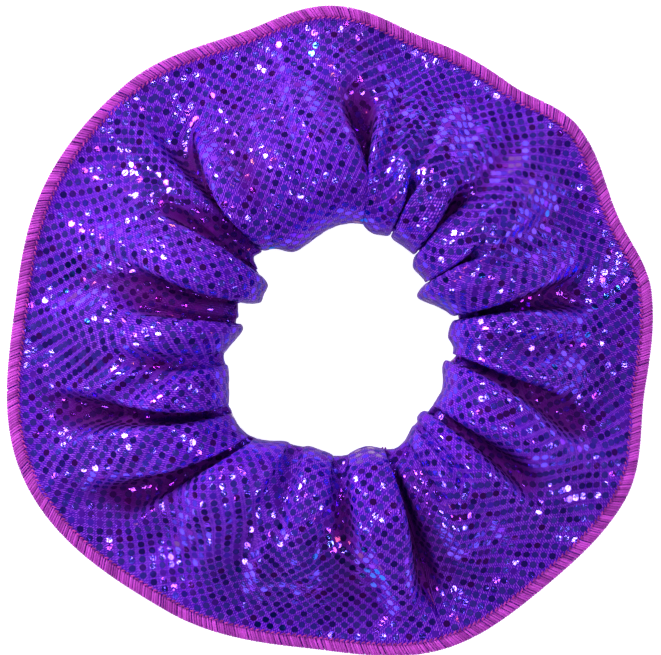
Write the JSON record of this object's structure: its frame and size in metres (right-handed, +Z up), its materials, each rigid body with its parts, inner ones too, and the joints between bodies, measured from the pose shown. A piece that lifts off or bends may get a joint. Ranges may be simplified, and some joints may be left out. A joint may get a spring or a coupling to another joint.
{
  "type": "gymnastics hair scrunchie",
  "caption": "Gathered ring of purple foil-dot spandex with a magenta overlocked rim, folded round a hidden elastic loop that holds hair.",
  "frame": {"origin": "middle of the box on the surface that the scrunchie lies on", "axes": "+Z up from that surface and along the hole; +X right and +Y away, seen from above"},
  "size_m": [0.1288, 0.1296, 0.0198],
  "materials": {
    "sleeve_fabric": "knit spandex with foil dots",
    "overlock_thread": "magenta textured thread",
    "seam_thread": "magenta textured thread",
    "elastic_braid": "white braided yarn",
    "elastic_rubber": "natural latex",
    "elastic_thread": "white thread"
  },
  "bodies": {
    "sleeve": {"fabric_sleeve": "sleeve_fabric", "edge_needle_thread": "overlock_thread", "edge_upper_looper_thread": "overlock_thread", "edge_lower_looper_thread": "overlock_thread", "closing_seam_needle_thread": "seam_thread", "closing_seam_upper_looper_thread": "seam_thread", "closing_seam_lower_looper_thread": "seam_thread"},
    "elastic": {"elastic_braid": "elastic_braid", "rubber_cord_1": "elastic_rubber", "rubber_cord_2": "elastic_rubber", "rubber_cord_3": "elastic_rubber", "rubber_cord_4": "elastic_rubber", "rubber_cord_5": "elastic_rubber", "rubber_cord_6": "elastic_rubber", "elastic_join_needle_thread": "elastic_thread", "elastic_join_bobbin_thread": "elastic_thread"}
  },
  "joints": [
    {"name": "elastic_turn", "type": "hinge", "parent": "sleeve", "child": "elastic", "pos_m": [0.0002, -0.0021, 0.0095], "axis": [0, 0, 1], "continuous": true}
  ]
}
